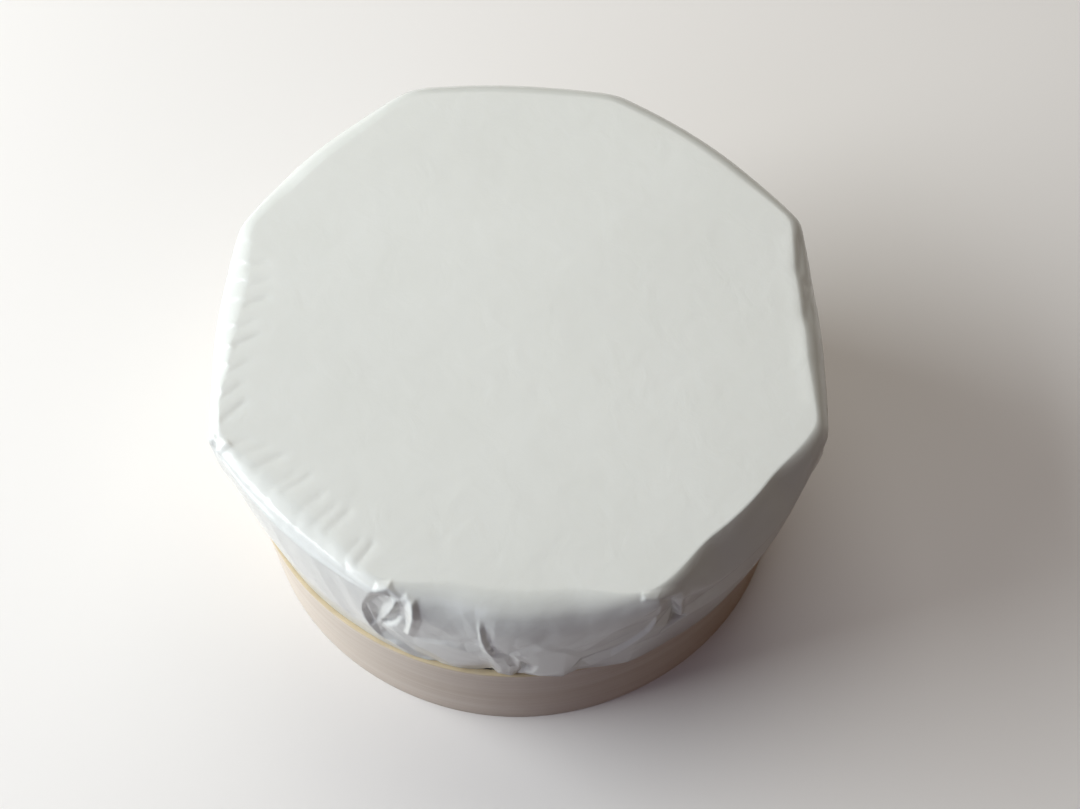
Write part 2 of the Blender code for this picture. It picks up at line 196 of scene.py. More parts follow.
TOP_HEIGHT = 64.0
WALL_RUN = 34.0
SHOULDER_RUN = 8.0
WALL_CURVE = 1.7
FILM_EDGE_HEIGHT = BOX_HEIGHT + 0.4
FILM_EDGE = 0.3
TUCK_RADIUS = BOX_RADIUS - VENEER - 0.3
print("box", 2.0 * BOX_RADIUS, "mm across and", BOX_HEIGHT, "mm high, the wheel's top at", TOP_HEIGHT, "mm")

# %% [markdown]
# The wheel's outline is an octagon, because the film is folded to eight sides, and each side bows out a
# little. A corner is given by its azimuth, an angle in degrees from +X, its radius, the degrees its
# point is rounded over, and its shoulder's width and drop. A side is given by its middle radius and by
# the width, drop and roundness of its shoulder. A roundness of 1 is a flat chamfer, and 2 is a quarter
# of an ellipse. Over the last 15 degrees before a corner, a side's shoulder eases to the corner's.

# %% The wheel's corners and sides
CORNERS = [
    (-155.0, 60.5, 1.0, 2.6, 2.4),
    (-114.0, 59.5, 1.5, 2.6, 2.6),
    (-67.0, 61.4, 1.5, 2.2, 3.6),
    (-22.5, 61.6, 1.5, 3.0, 4.5),
    (23.0, 60.9, 1.5, 3.0, 3.0),
    (70.0, 60.8, 3.0, 4.0, 3.6),
    (111.0, 63.2, 4.5, 4.5, 3.8),
    (157.5, 59.4, 2.5, 4.0, 3.6),
]
SIDES = [
    (58.7, 5.6, 3.6, 1.9),
    (60.6, 6.3, 9.0, 2.3),
    (61.2, 5.0, 8.4, 1.15),
    (58.1, 4.2, 5.5, 1.7),
    (58.6, 4.2, 3.8, 2.0),
    (59.7, 4.5, 4.0, 2.0),
    (59.7, 5.5, 4.0, 1.35),
    (57.2, 5.8, 4.6, 1.6),
]
CORNER_REACH = 15.0
CORNER_ROUNDNESS = 1.8

corner_azimuths, corner_radii, corner_rounds = np.array(CORNERS).T[:3]
corner_shoulders = np.array([(*corner[3:], CORNER_ROUNDNESS) for corner in CORNERS])
print("corners lie", corner_radii.min(), "to", corner_radii.max(), "mm from the axis")

# %% [markdown]
# ## The outline
#
# Each side of the outline is a chord between two corners with a bow added to it. A corner's point is
# rounded by averaging the outline over a few degrees, because film can't hold a knife edge.

# %% The outline
def smooth(share):
    """A soft step from 0 to 1."""
    share = np.clip(share, 0.0, 1.0)
    return share * share * (3.0 - 2.0 * share)


def side_of(azimuth):
    """The side an azimuth falls on, that side's start and end, and the azimuth counted from there on."""
    first = corner_azimuths[0]
    azimuth = (azimuth - first) % 360.0 + first
    side = np.clip(np.searchsorted(corner_azimuths, azimuth, side="right") - 1, 0, len(SIDES) - 1)
    end = np.where(side == len(SIDES) - 1, first + 360.0, corner_azimuths[(side + 1) % len(SIDES)])
    return side, corner_azimuths[side], end, azimuth


def bowed_outline(azimuth):
    """Radius of the octagon with bowed sides, before its corners are rounded."""
    side, start, end, azimuth = side_of(azimuth)
    near, far = corner_radii[side], corner_radii[(side + 1) % len(SIDES)]
    start, end, at = np.radians(start), np.radians(end), np.radians(azimuth)

    def chord(angle):
        across = near * np.sin(angle - start) + far * np.sin(end - angle)
        return near * far * np.sin(end - start) / across

    middle = np.array([values[0] for values in SIDES])[side]
    bow = middle - chord((start + end) / 2.0)
    share = (at - start) / (end - start)
    return chord(at) + bow * (1.0 - (2.0 * share - 1.0) ** 2)


def outline(azimuth):
    """Radius of the wrapped outline, each corner rounded over its own few degrees."""
    side, start, end, turned = side_of(azimuth)
    share = (turned - start) / (end - start)
    reach = corner_rounds[side] * (1.0 - share) + corner_rounds[(side + 1) % len(SIDES)] * share
    steps = np.linspace(-1.0, 1.0, 9)
    weights = np.cos(steps * math.pi / 2.2)
    total = sum(weight * bowed_outline(azimuth + step * reach) for step, weight in zip(steps, weights))
    return total / weights.sum()


print("radius at the front of the wall:", round(float(outline(np.array([-90.0]))[0]), 2), "mm")

# %% [markdown]
# ## The shoulder and the lower edge
#
# The left shoulder's inner edge is scalloped, because the film is pulled over it in small tucks. It also
# narrows towards the front. The film's lower edge lies on the rim, or hangs over it where its radius is
# larger than the box's.

# %% The shoulder and the lower edge
SCALLOP_ENDS = (160.0, 202.0)
SCALLOP_LONG = 5.2
SCALLOP_DEPTH = 0.6
SCALLOP_FADES = (2.0, 6.0)
NARROW_ENDS = (172.0, 205.0)
NARROW_FADES = (20.0, 10.0)
NARROWS_BY = 1.8

# Azimuth and radius, once round.
LOWER_EDGE = [
    (-205.0, 56.4), (-185.0, 56.4), (-170.0, 57.2), (-160.0, 57.6), (-150.0, 57.1), (-146.0, 56.9),
    (-142.0, 56.8), (-123.0, 56.7), (-117.0, 56.9), (-112.0, 57.0), (-101.5, 56.8), (-97.5, 56.5),
    (-94.5, 56.4), (-93.5, 57.2), (-91.0, 57.3), (-90.0, 56.7), (-88.5, 56.7), (-86.0, 57.7),
    (-81.4, 58.3), (-78.4, 57.4), (-75.5, 57.7), (-68.7, 58.8), (-60.0, 58.4), (-49.5, 58.6),
    (-33.0, 58.1), (-20.0, 58.2), (-12.0, 56.6), (10.0, 56.4), (26.0, 56.5), (33.0, 58.2), (58.0, 58.4),
    (66.0, 56.5), (95.0, 56.4), (112.0, 56.6), (120.0, 58.2), (146.0, 58.1), (155.0, 56.4),
]


def shoulder(azimuth, which):
    """Shoulder width, drop or roundness, easing to that of the nearest corner."""
    side, start, end, azimuth = side_of(azimuth)
    value = np.array([values[which + 1] for values in SIDES])[side]
    near_start = azimuth - start < end - azimuth
    corner = corner_shoulders[np.where(near_start, side, (side + 1) % len(SIDES)), which]
    near = np.minimum(azimuth - start, end - azimuth)
    return corner + (value - corner) * smooth(near / CORNER_REACH)


def between(azimuth, ends, fades):
    """1 between two azimuths and 0 outside them, with a soft start and end."""
    return smooth((azimuth - ends[0]) / fades[0]) * smooth((ends[1] - azimuth) / fades[1])


def scallops(azimuth):
    """The left shoulder's added width. In each scallop it widens at once and narrows slowly."""
    turned = azimuth % 360.0
    past = ((turned - SCALLOP_ENDS[0]) / SCALLOP_LONG + 0.15 * np.sin(turned / 3.0)) % 1.0
    added = SCALLOP_DEPTH * (1.0 - past) * smooth(past / 0.2)
    added = added * between(turned, SCALLOP_ENDS, SCALLOP_FADES)
    return added - NARROWS_BY * between(turned, NARROW_ENDS, NARROW_FADES)


def edge_radius(azimuth):
    """Radius of the film's lower edge."""
    first = LOWER_EDGE[0][0]
    turned = (azimuth - first) % 360.0 + first
    ends = LOWER_EDGE + [(first + 360.0, LOWER_EDGE[0][1])]
    return np.interp(turned, [point[0] for point in ends], [point[1] for point in ends])


print("lower edge", min(point[1] for point in LOWER_EDGE), "to", max(point[1] for point in LOWER_EDGE), "mm")

# %% [markdown]
# ## The wheel's plain form
#
# Now the wheel can be drawn as if the film lay without a fold. Every point of it is found from an
# azimuth and a run. The folds are added later, along the way out of this form.

# %% The wheel's plain form
def plain_form(azimuth, run):
    """Radius and height of the wrapped wheel with no folds."""
    radius = outline(azimuth)
    width = shoulder(azimuth, 0) + scallops(azimuth)
    drop = shoulder(azimuth, 1)
    power = 2.0 / shoulder(azimuth, 2)
    turn = np.clip((run + SHOULDER_RUN) / SHOULDER_RUN, 0.0, 1.0) * math.pi / 2.0
    across = radius - width + width * np.sin(turn) ** power
    height = TOP_HEIGHT - drop + drop * np.abs(np.cos(turn)) ** power
    down = np.clip(run / WALL_RUN, 0.0, 1.0)
    wall = radius + (edge_radius(azimuth) - radius) * down**WALL_CURVE
    wall_top = TOP_HEIGHT - drop
    across = np.where(run > 0.0, wall, across)
    height = np.where(run > 0.0, wall_top + (FILM_EDGE_HEIGHT - wall_top) * down, height)
    inward = radius - width - (-SHOULDER_RUN - run)
    across = np.where(run < -SHOULDER_RUN, inward, across)
    height = np.where(run < -SHOULDER_RUN, TOP_HEIGHT, height)
    return across, height


def outward(azimuth, run, step=0.4):
    """The way out of the plain form, as a part across and a part up."""
    across_a, height_a = plain_form(azimuth, run - step)
    across_b, height_b = plain_form(azimuth, np.minimum(run + step, WALL_RUN))
    along, fall = across_b - across_a, height_b - height_a
    length = np.maximum(np.hypot(along, fall), 1e-9)
    return -fall / length, along / length


print("the wall starts at", [round(float(v[0]), 1) for v in plain_form(np.array([-90.0]), np.array([0.0]))])

# %% [markdown]
# ## Soft folds
#
# Film bends in two ways. Where it is slack it makes soft waves, and where it is pressed it makes sharp
# creases. A soft fold here is a ridge or groove along a path on the wheel, with a rounded section. Its
# height is in millimetres out of the plain form, and below 0 it is a groove.

# %% Soft folds
DEGREE_LONG = 1.02


def sideways(azimuth, centre):
    """Distance round the wall from a centre azimuth, in millimetres."""
    return ((azimuth - centre + 180.0) % 360.0 - 180.0) * DEGREE_LONG


def along_path(azimuth, run, path):
    """Distance from a path of (azimuth, run), the side it lies on, and how far along the path."""
    centre = path[0][0]
    u = sideways(azimuth, centre)
    nearest = np.full(np.shape(u), 1e9)
    side = np.zeros(np.shape(u))
    place = np.zeros(np.shape(u))
    for step, ((at_a, run_a), (at_b, run_b)) in enumerate(zip(path, path[1:])):
        u_a = (at_a - centre) * DEGREE_LONG
        du, dr = (at_b - at_a) * DEGREE_LONG, run_b - run_a
        share = np.clip(((u - u_a) * du + (run - run_a) * dr) / (du * du + dr * dr), 0.0, 1.0)
        away = np.hypot(u - u_a - share * du, run - run_a - share * dr)
        closer = away < nearest
        nearest = np.where(closer, away, nearest)
        side = np.where(closer, np.sign(du * (run - run_a) - dr * (u - u_a)), side)
        place = np.where(closer, (step + share) / (len(path) - 1), place)
    return nearest, side, place


def soft_fold(azimuth, run, height, width, path):
    """A ridge or groove with a rounded section."""
    nearest = along_path(azimuth, run, path)[0]
    return height * np.exp(-((nearest / width) ** 1.6))


def crease(azimuth, run, height, widths, path):
    """A sharp ridge or groove with straight flanks, highest in the middle of its path.

    The first width is on the left of a path that runs down the picture, and the second on its right.
    The ridge itself is eased over 0.2 mm, and the path's ends keep about a third of the height.
    """
    nearest, side, place = along_path(azimuth, run, path)
    width = np.where(side > 0.0, widths[0], widths[1])
    rise = np.clip(1.0 - (np.sqrt(nearest**2 + 0.04) - 0.2) / width, 0.0, 1.0)
    return height * rise * (0.35 + 0.65 * np.sin(np.pi * np.clip(place, 0.0, 1.0)) ** 0.7)


print("one degree is", DEGREE_LONG, "mm of wall")

# %% [markdown]
# ## The front folds
#
# At the front the film is gathered into flat facets between straight creases, as in folded paper. So
# each crease is set out by its bends, and a triangulation that keeps to the creases joins them into
# facets. Bumps made with round brushes would look like clay here. A bend is read off the photo, as x
# and y in pixels, and gets a height in mm out of the plain form. The camera above stands where
# the photo's did, so each bend can be carried to the film: a fine grid of places on the plain form is
# drawn through the camera, and the place that falls nearest to the bend is its own.

# %% From the photo to the film
PHOTO_WIDTH, PHOTO_HEIGHT = 1080.0, 809.0
GRID_STEP = 0.25
grid_azimuth, grid_run = np.meshgrid(
    np.arange(-160.0, -15.0, GRID_STEP), np.arange(-12.0, WALL_RUN + 0.01, GRID_STEP), indexing="ij"
)
grid_form = plain_form(grid_azimuth, grid_run)
grid_out = outward(grid_azimuth, grid_run)


def in_photo(height):
    """Where the grid shows in the photo, in pixels, if the film there stands out by a height."""
    across, level = (form + out * height for form, out in zip(grid_form, grid_out))
    turns, tilt = np.radians(grid_azimuth), math.radians(CAMERA_ELEVATION)
    away = np.stack([across * np.cos(turns), across * np.sin(turns), level], axis=-1) - CAMERA_PLACE
    depth = away @ np.array([0.0, math.cos(tilt), -math.sin(tilt)])
    above = away @ np.array([0.0, math.sin(tilt), math.cos(tilt)])
    scale = LENS / SENSOR_WIDTH * PHOTO_WIDTH / depth
    return PHOTO_WIDTH / 2.0 + scale * away[..., 0], PHOTO_HEIGHT / 2.0 - scale * above


def on_film(creases):
    """Turns the bends of each crease from (x, y, height) in the photo to (azimuth, run, height)."""
    placed = {name: [] for name in creases}
    for name, bends in creases.items():
        for x, y, height in bends:
            shown_x, shown_y = in_photo(height)
            nearest = np.argmin(np.hypot(shown_x - x, shown_y - y))
            placed[name].append((grid_azimuth.flat[nearest], grid_run.flat[nearest], height))
    return placed


FRONT_MIDDLE = {"front middle": [(530, 640, 0.0)]}
shown = on_film(FRONT_MIDDLE)["front middle"][0]
print("the middle of the front is at azimuth", float(shown[0]), "and run", float(shown[1]))

# %% [markdown]
# The first group is the knot at the left corner, where the end of the film was twisted and pressed
# flat: two blades stand up round a small dark hole.

# %% The knot
KNOT = {
    "knot brink": [
        (379, 634, 0.2), (371, 626, 0.35), (365.5, 617.5, 0.4), (362.8, 610, 0.4), (362.5, 603, 0.3),
        (366.5, 596.5, 0.2), (372, 592, 0.35), (380, 590.5, 0.55), (387, 589, 0.6), (394, 587.5, 0.1),
    ],
    "knot strip": [(365.8, 606.5, -0.35), (369.5, 612, -0.6), (372.5, 618, -0.6)],
    "knot thin ridge": [(366.5, 602, -0.2), (371, 611, -0.3), (374.8, 618, -0.35), (376.5, 622, -0.4)],
    "knot upper hollow": [
        (370, 600, -0.55), (376, 595.5, -0.9), (384, 594.5, -1.0), (392, 596, -0.6), (399, 599, -0.1),
    ],
    "kite left": [
        (391, 600.5, -0.75), (384, 603, -1.0), (379.7, 607.5, -1.05), (377.5, 614, -0.95),
        (377.5, 620, -0.7), (379, 626, -0.45),
    ],
    "kite ridge": [
        (396, 601.5, -0.1), (393, 607.5, 0.15), (388.5, 613.7, 0.15), (383.5, 618, -0.1),
        (380.5, 621, -0.25), (379, 626, -0.45),
    ],
    "kite right": [
        (398, 603, -0.5), (399.5, 608, -0.85), (399, 613, -0.9), (395.5, 618, -0.8), (392, 619.5, -0.85),
        (388, 620, -0.85), (384.5, 618.5, -0.75),
    ],
    "crescent": [
        (383.5, 622.5, -0.35), (387, 625, -0.1), (391, 625.7, 0.0), (396, 624.3, 0.05),
        (399.5, 621.5, 0.0), (401.5, 618.5, -0.2),
    ],
    "blade middle": [
        (400, 600, -0.1), (404, 604.5, -0.5), (404.8, 611, -0.6), (405.5, 618, -0.5), (405.5, 625, -0.15),
        (403.5, 633, 0.1),
    ],
    "blade ridge": [
        (402, 597, 0.0), (408.5, 600.5, 0.4), (411.3, 605, 0.7), (412, 612, 0.9), (411.8, 620, 0.9),
        (410.3, 627, 0.8), (407.8, 634.5, 0.55),
    ],
    "blade foot": [
        (405, 592, 0.0), (416, 600, 0.1), (420, 610, 0.1), (421, 620, 0.05), (419, 630, 0.0),
        (413, 637.5, 0.05),
    ],
    "knot tip": [(382, 625.5, -0.55), (382, 632.5, -0.25), (386.5, 639, 0.1)],
}
FRONT_LINES = on_film(KNOT)
print(len(FRONT_LINES), "creases in the knot")

# %% [markdown]
# From the knot a long valley runs down to the right. A flap lies over its upper side, and a narrow
# strip of film is left below it along the rim. Where the valley meets the rim, the film stands off
# the wood and leaves a small gap.

# %% The left flap
LEFT_FLAP = {
    "left flap edge": [
        (388, 628, 0.1), (395, 631.5, 0.25), (401, 636, 0.3), (410, 642, 0.35), (424, 648.5, 0.4),
        (437, 655.5, 0.4), (452, 664.5, 0.4), (462, 668, 0.35), (475, 670, 0.25), (482, 669, 0.1),
    ],
    "diagonal valley": [
        (382, 625.5, -0.55), (386, 630, -0.75), (392, 634, -0.75), (398, 638.5, -0.7), (406, 643, -0.6),
        (415, 649, -0.5), (430, 656.5, -0.5), (440, 661.5, -0.4),
    ],
    "strip": [
        (386.5, 639, 0.1), (396, 645, 0.25), (404, 650, 0.2), (415, 656, 0.15), (428, 662, 0.1),
        (440, 666.5, 0.05),
    ],
    "left flap line": [
        (414, 642, 0.25), (430, 643.5, 0.25), (442, 645, 0.25), (456, 648.5, 0.3), (468, 652, 0.3),
    ],
    "left flap valley": [
        (420, 637, -0.1), (435, 639, -0.15), (450, 641, -0.2), (462, 643, -0.2), (472, 640, -0.1),
    ],
}
FRONT_LINES.update(on_film(LEFT_FLAP))
print(len(FRONT_LINES), "creases so far")

# %% [markdown]
# In the middle a fold stands up like a pleat, catches the light along its edge, and ends in a small
# ear over the rim. To its right lies a steep facet in shadow.

# %% The standing fold and its ear
STANDING_FOLD = {
    "standing fold": [
        (479, 622, 0.05), (480, 630, 0.3), (481.2, 637, 0.5), (483.2, 645, 0.55), (487.2, 653, 0.6),
        (492.2, 658.3, 0.6),
    ],
    "standing fold left": [
        (477, 626, 0.0), (477.6, 634, 0.1), (478.8, 642, 0.15), (482, 650, 0.2), (478, 656, 0.3),
    ],
    "standing fold right": [(484, 625, 0.0), (486, 632, -0.25), (488, 640, -0.3), (491.5, 648, -0.25)],
    "facet edge": [(495, 622, 0.2), (495, 632, 0.25), (494, 641, 0.15), (491.5, 648, -0.25)],
    "facet foot": [(517.5, 638.8, 0.25), (512, 646, 0.15), (503, 649.5, 0.05), (495, 651, -0.05)],
    "under the facet": [(495, 653.5, 0.0), (503, 653, -0.1), (512, 652.5, -0.1)],
    "ear": [(492.2, 658.3, 0.6), (496, 663, 0.65), (500.5, 668, 0.65), (503, 673.5, 0.5)],
    "ear left": [(482, 661, 0.2), (488, 665, 0.15), (493.5, 669, 0.1)],
    "ear face": [(499, 656, 0.25), (505, 660, 0.35), (508, 666, 0.45), (508, 673, 0.4)],
    "ear dent": [(508.5, 655, -0.1), (511.5, 659, -0.05), (513.5, 663, 0.15)],
    "ear right": [(514, 656, 0.2), (519, 661, 0.45), (519.5, 667, 0.45), (517, 673, 0.35)],
    "hole by the ear": [(522.5, 661.5, -0.3), (526, 664, -0.8), (534, 667.5, 0.05)],
    "rim of the hole": [
        (521, 655.5, 0.3), (529, 659.5, 0.35), (538, 666, 0.4), (532, 672.5, 0.45), (525, 674, 0.4),
    ],
}
FRONT_LINES.update(on_film(STANDING_FOLD))
print(len(FRONT_LINES), "creases so far")

# %% [markdown]
# On each side of the ear the film's edge pulls away from the rim and leaves a dark gap. These creases
# lie at the lower edge and just past it, so they are given as azimuth, run and height.

# %% The gaps at the rim
GAP_RUN = WALL_RUN + 0.3
FRONT_LINES["left gap top"] = [(-98.25, 31.5, 0.1), (-96.75, 31.0, 0.05), (-95.25, 31.0, 0.1)]
FRONT_LINES["left gap"] = [
    (-98.25, GAP_RUN, -0.2), (-97.25, GAP_RUN, -2.6), (-95.25, GAP_RUN, -2.8), (-94.5, GAP_RUN, -0.2),
]
FRONT_LINES["right gap"] = [
    (-90.5, GAP_RUN, -0.2), (-89.9, GAP_RUN, -2.8), (-88.5, GAP_RUN, -2.8), (-88.0, GAP_RUN, -0.1),
]
print("gaps up to", -min(point[2] for point in FRONT_LINES["left gap"]), "mm deep")

# %% [markdown]
# Right of the ear the film is folded into a pointed flap that lies flat on the wall, and its lower
# edge curls out over the rim. Beyond it a pleat rises to the right corner, with a shaded hollow
# above it. At the corner itself the film is pinched into a small pocket.

# %% The right flap, the pleat and the corner
RIGHT_FLAP = {
    "right flap top": [
        (518, 638.4, 0.3), (535, 645.5, 0.35), (550, 650.5, 0.35), (566, 654, 0.4), (581, 658, 0.4),
    ],
    "right flap left": [(518, 638.4, 0.3), (517.5, 645, 0.25), (518, 650.5, 0.05)],
    "right flap crease": [(512, 652.5, -0.1), (518, 650.5, 0.05), (528, 650.5, 0.2)],
    "right flap low": [
        (525, 674, 0.4), (538, 675.5, 0.5), (550, 675, 0.5), (562, 675.5, 0.5), (572, 668, 0.45),
        (581, 658, 0.4),
    ],
    "above the right flap": [
        (521, 634, 0.2), (536, 640, 0.25), (551, 645, 0.25), (567, 649, 0.25), (581, 652.5, 0.2),
    ],
    "recess": [
        (581, 660, -0.3), (597, 653, -0.45), (612, 649, -0.5), (620, 645, -0.5), (632, 637.5, -0.5),
        (645, 628.5, -0.5), (652, 621, -0.3),
    ],
    "recess brow": [
        (583, 643, 0.3), (597, 638, 0.4), (612, 633, 0.5), (625, 627, 0.5), (640, 619, 0.4),
        (653, 612.5, 0.15),
    ],
    "pleat ridge": [
        (577, 669.5, 0.2), (590, 664.5, 0.2), (610, 657, 0.2), (622, 650.5, 0.2), (647, 633.5, 0.25),
        (653, 628, 0.25), (656, 621, 0.2), (657.5, 616.5, 0.1),
    ],
    "pleat foot": [
        (592, 670, 0.0), (606, 667, 0.05), (620, 661, 0.1), (640, 647, 0.1), (658, 634, 0.1),
        (666, 625, 0.1),
    ],
    "corner spot": [(646, 599, 0.35), (652, 598.5, 0.4), (658, 596.5, 0.4)],
    "corner brink": [(660, 600, 0.45), (661, 607, 0.5), (660, 614, 0.3)],
    "corner pocket": [(670, 598, -0.4), (673, 604, -1.5), (673, 611, -1.7), (671, 617, -1.1)],
    "corner ridge": [(682, 592, 0.2), (682, 600, 0.35), (681.5, 608, 0.35), (680, 616, 0.2)],
    "corner ridge foot": [(686, 598, -0.1), (685, 606, -0.15), (683, 614, -0.15)],
}
FRONT_LINES.update(on_film(RIGHT_FLAP))
print(len(FRONT_LINES), "creases so far")

# %% [markdown]
# Right of the corner the shoulder is one flat, dark facet, which its roundness near 1 already gives.
# Under it a valley runs along the wall, and the film below the valley leans out again to the rim. The
# last line is the border of the folds towards the top: it holds them down where the film lies plain.

# %% The right side's valley and the border
FRONT_LINES["right edge"] = [(-60.0, 0.75, 0.0), (-50.0, 0.75, 0.1), (-40.0, 0.75, 0.1), (-30.0, 0.75, 0.0)]
FRONT_LINES["right valley"] = [
    (-60.0, 9.0, -0.4), (-55.0, 8.0, -0.9), (-48.0, 8.0, -1.1), (-38.0, 8.0, -1.1), (-30.0, 7.0, -0.8),
    (-26.0, 5.0, -0.3),
]
FRONT_LINES["right lip"] = [(-59.0, 14.0, 0.0), (-50.0, 14.0, 0.1), (-40.0, 14.0, 0.1), (-30.0, 13.0, 0.0)]
BORDER = [
    (345, 572), (360, 577), (375, 580), (392, 579), (404, 586), (420, 594), (440, 604), (460, 607),
    (474, 606), (500, 608), (520, 610), (545, 604), (570, 604), (590, 612), (615, 614), (640, 602),
    (642, 591), (662, 588), (684, 585),
]
FRONT_LINES.update(on_film({"border": [(x, y, 0.0) for x, y in BORDER]}))
print(len(FRONT_LINES), "creases in all")

# %% [markdown]
# ## The facets
#
# A constrained triangulation joins a set of points into triangles, as even as they can be while they
# keep to given edges, here the creases. Where two creases cross, it adds a point that has no height of
# its own, so the cell prints any such place, and there should be none.

# %% The facets
FRONT_TOP = -9.0
FRONT_BOTTOM = WALL_RUN + 0.6
FRONT_SIDES = (-121.5, -22.5)
POINTS_ACROSS = 13
POINTS_DOWN = 6
SAME_PLACE = 0.01


def front_net():
    """The facets of the front folds as triangles of (distance round, run, height)."""
    points, heights, edges = [], [], []

    def add(azimuth, run, height):
        place = (azimuth * DEGREE_LONG, run)
        for index, known in enumerate(points):
            if math.hypot(known[0] - place[0], known[1] - place[1]) < SAME_PLACE:
                return index
        points.append(place)
        heights.append(height)
        return len(points) - 1

    for line in FRONT_LINES.values():
        indices = [add(*point) for point in line]
        edges.extend(zip(indices, indices[1:]))
    for azimuth in np.linspace(*FRONT_SIDES, POINTS_ACROSS):
        add(azimuth, FRONT_TOP, 0.0)
        add(azimuth, FRONT_BOTTOM, 0.0)
    for run in np.linspace(FRONT_TOP, FRONT_BOTTOM, POINTS_DOWN)[1:-1]:
        for azimuth in FRONT_SIDES:
            add(azimuth, run, 0.0)
    joined = delaunay_2d_cdt([Vector(point) for point in points], edges, [], 0, 1e-4)
    found, triangles, sources = joined[0], joined[2], joined[3]
    known = [heights[source[0]] if source else None for source in sources]
    lost = [index for index, value in enumerate(known) if value is None]
    crossings = [(round(found[i].x / DEGREE_LONG, 2), round(found[i].y, 2)) for i in lost]
    print("creases that cross at:", crossings)
    corners = []
    for triangle in triangles:
        if any(known[index] is None for index in triangle):
            continue
        corners.append([(found[index].x, found[index].y, known[index]) for index in triangle])
    return np.array(corners)


net = front_net()
print(len(net), "front facets, heights", net[:, :, 2].min(), "to", net[:, :, 2].max(), "mm")

# %% [markdown]
# Each point of the film then takes its height from the facet it falls on. A point inside a triangle is
# a mix of its three corners, and the shares of that mix, which are found from areas, also mix the
# corners' heights.

# %% Heights on the facets
def facet_height(azimuth, run, net):
    """Height of the front folds, found on the facet that each point falls on."""
    u = ((azimuth + 180.0) % 360.0 - 180.0) * DEGREE_LONG
    total = np.zeros(np.shape(u))
    for a, b, c in net:
        low = np.minimum(np.minimum(a, b), c)
        high = np.maximum(np.maximum(a, b), c)
        near = (u >= low[0]) & (u <= high[0]) & (run >= low[1]) & (run <= high[1])
        if not near.any():
            continue
        x, y = u[near], run[near]
        area = (b[0] - a[0]) * (c[1] - a[1]) - (c[0] - a[0]) * (b[1] - a[1])
        share_b = ((x - a[0]) * (c[1] - a[1]) - (c[0] - a[0]) * (y - a[1])) / area
        share_c = ((b[0] - a[0]) * (y - a[1]) - (x - a[0]) * (b[1] - a[1])) / area
        inside = (share_b >= -1e-9) & (share_c >= -1e-9) & (share_b + share_c <= 1.0 + 1e-9)
        values = a[2] + share_b * (b[2] - a[2]) + share_c * (c[2] - a[2])
        total[near] = np.where(inside, values, total[near])
    return total


sample = facet_height(np.array([-95.0]), np.array([10.0]), net)
print("the standing fold is", round(float(sample[0]), 2), "mm high at its middle")

# %% [markdown]
# ## Wrinkles and dents
#
# On the left the film is pulled tight over a sharp edge, so it carries fine parallel ridges and short
# wrinkles across them. At the front and the right the shoulder has a few soft dents.

# %% Wrinkles and dents
# A row is its number of folds, first and last azimuth, inner and outer run, lean, height and width.
FOLD_ROWS = [
    (8, 165.0, 201.5, -11.5, -8.0, 2.0, -0.14, 0.9),
    (10, -152.0, -117.0, -11.2, -6.6, -0.6, -0.10, 0.9),
    (8, -147.0, -119.0, -3.6, -2.4, 0.4, -0.05, 0.6),
    (6, -148.0, -120.0, 2.0, 24.0, 1.5, 0.12, 1.8),
    (6, -102.0, -72.0, -4.5, 3.0, -5.0, -0.05, 1.7),
]
ROW_UNEVEN = 0.8

EDGE_FOLDS = [
    (0.16, 0.8, [(-152.0, -3.2), (-140.0, -3.8), (-126.0, -3.8), (-113.0, -3.2)]),
    (-0.14, 0.5, [(-151.0, -1.6), (-140.0, -2.2), (-126.0, -2.2), (-117.0, -1.6)]),
    (0.10, 0.6, [(-150.0, -0.4), (-140.0, -0.8), (-126.0, -0.8), (-118.0, -0.4)]),
]
LEFT_CORNER_FOLDS = [
    (0.4, 0.9, [(-155.0, -4.0), (-155.5, 4.0)]),
    (-0.7, 0.6, [(-153.8, -3.0), (-154.0, 0.5)]),
    (0.4, 0.7, [(-152.3, -7.0), (-152.6, -2.5)]),
]
FRONT_DENTS = [
    (-0.16, 1.8, [(-99.0, 0.5), (-103.0, 6.0)]),
    (0.10, 2.0, [(-96.5, -0.5), (-100.0, 4.0)]),
    (-0.20, 1.7, [(-84.5, -0.5), (-88.5, 4.5)]),
    (0.10, 2.0, [(-82.0, -1.0), (-85.5, 3.5)]),
    (-0.20, 1.7, [(-78.0, 1.0), (-82.0, 5.5)]),
]
RIGHT_DENTS = [
    (-0.5, 2.2, [(12.0, -6.0), (18.0, -4.5)]),
    (-0.5, 2.2, [(1.0, -6.0), (8.0, -4.5)]),
    (0.12, 1.8, [(-18.0, -8.5), (18.0, -8.5)]),
]


def fold_row(count, first, last, inner, outer, lean, height, width):
    """A row of like folds across an edge, each a little off its even place."""
    folds = []
    for step in range(count):
        off = ROW_UNEVEN * math.sin(2.4 * step + 1.0)
        at = first + (last - first) * step / (count - 1) + off
        deep = height * (1.0 + 0.3 * math.sin(3.7 * step))
        folds.append((deep, width, [(at, inner + off), (at + lean, outer + off)]))
    return folds


print(len(fold_row(*FOLD_ROWS[0])), "wrinkles across the left shoulder")

# %% [markdown]
# ## The far sides
#
# What the photo doesn't show gets the same kinds of fold as the near sides: at each corner a pinched
# crease with a pleat below it, and between two corners slack creases. Small creases are strewn over
# most of the wall, with fixed seeds, so that each run makes the same ones.

# %% The far sides
# A corner's second value says to which side its pleat leans.
PLAIN_CORNERS = [(-22.5, 1), (23.0, -1), (70.0, 1), (111.0, -1), (157.5, 1), (-155.0, -1)]
PLAIN_SIDES = [(-22.5, 23.0), (23.0, 70.0), (70.0, 111.0), (111.0, 157.5), (157.5, 205.0)]

